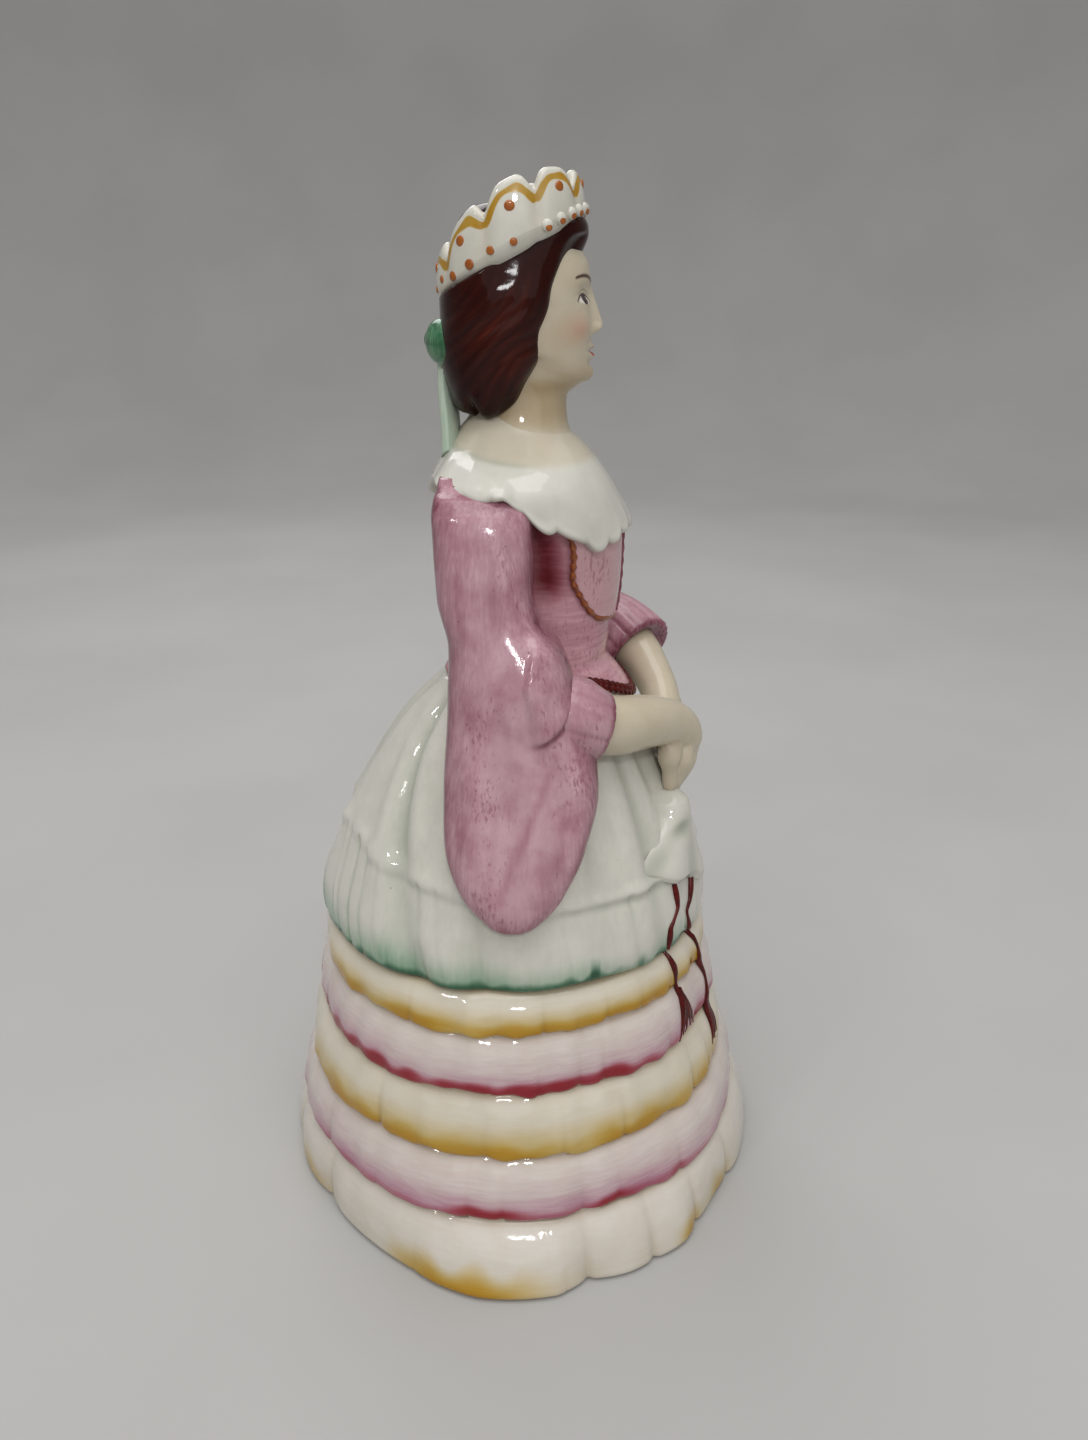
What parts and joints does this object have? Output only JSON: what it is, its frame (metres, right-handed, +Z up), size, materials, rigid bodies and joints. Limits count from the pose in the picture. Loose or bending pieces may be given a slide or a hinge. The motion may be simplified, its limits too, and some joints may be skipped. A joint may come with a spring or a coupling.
{
  "type": "earthenware figure",
  "caption": "Glazed earthenware figure of a standing crowned lady in a jacket with hanging sleeves, a white overskirt and a flounced crinoline that forms her hollow foot.",
  "frame": {"origin": "centre of the bounding box on the table plane, under the middle of the foot rim", "axes": "+Z up through the figure, -Y the way the lady faces, -X her right hand"},
  "size_m": [0.1304, 0.1232, 0.2296],
  "materials": {
    "biscuit": "bare fired clay with a thin smear of glaze",
    "cream_glaze": "clear lead glaze over ochre and lilac brushed bands",
    "white_glaze": "clear glossy lead glaze, faintly blue where it pools",
    "pink_enamel": "mauve pink brushed enamel over the glaze",
    "flesh_glaze": "clear glaze over pale flesh tint",
    "brown_enamel": "dark brown brushed enamel, glossy",
    "green_enamel": "green brushed enamel, glossy",
    "pale_green_enamel": "thin green wash over the glaze"
  },
  "bodies": {
    "root": {"base_slab": "biscuit", "skirt_front_half": "cream_glaze", "skirt_back_half": "cream_glaze", "overskirt_front_half": "white_glaze", "overskirt_back_half": "white_glaze", "bodice_front_half": "pink_enamel", "bodice_back_half": "pink_enamel", "bertha_collar": "white_glaze", "head": "flesh_glaze", "hair": "brown_enamel", "coronet": "white_glaze", "bow": "green_enamel", "ribbon_tails": "pale_green_enamel", "right_sleeve": "pink_enamel", "left_sleeve": "pink_enamel", "right_cuff": "pink_enamel", "left_cuff": "pink_enamel", "right_forearm": "flesh_glaze", "left_forearm": "flesh_glaze", "handkerchief": "white_glaze"}
  },
  "joints": []
}
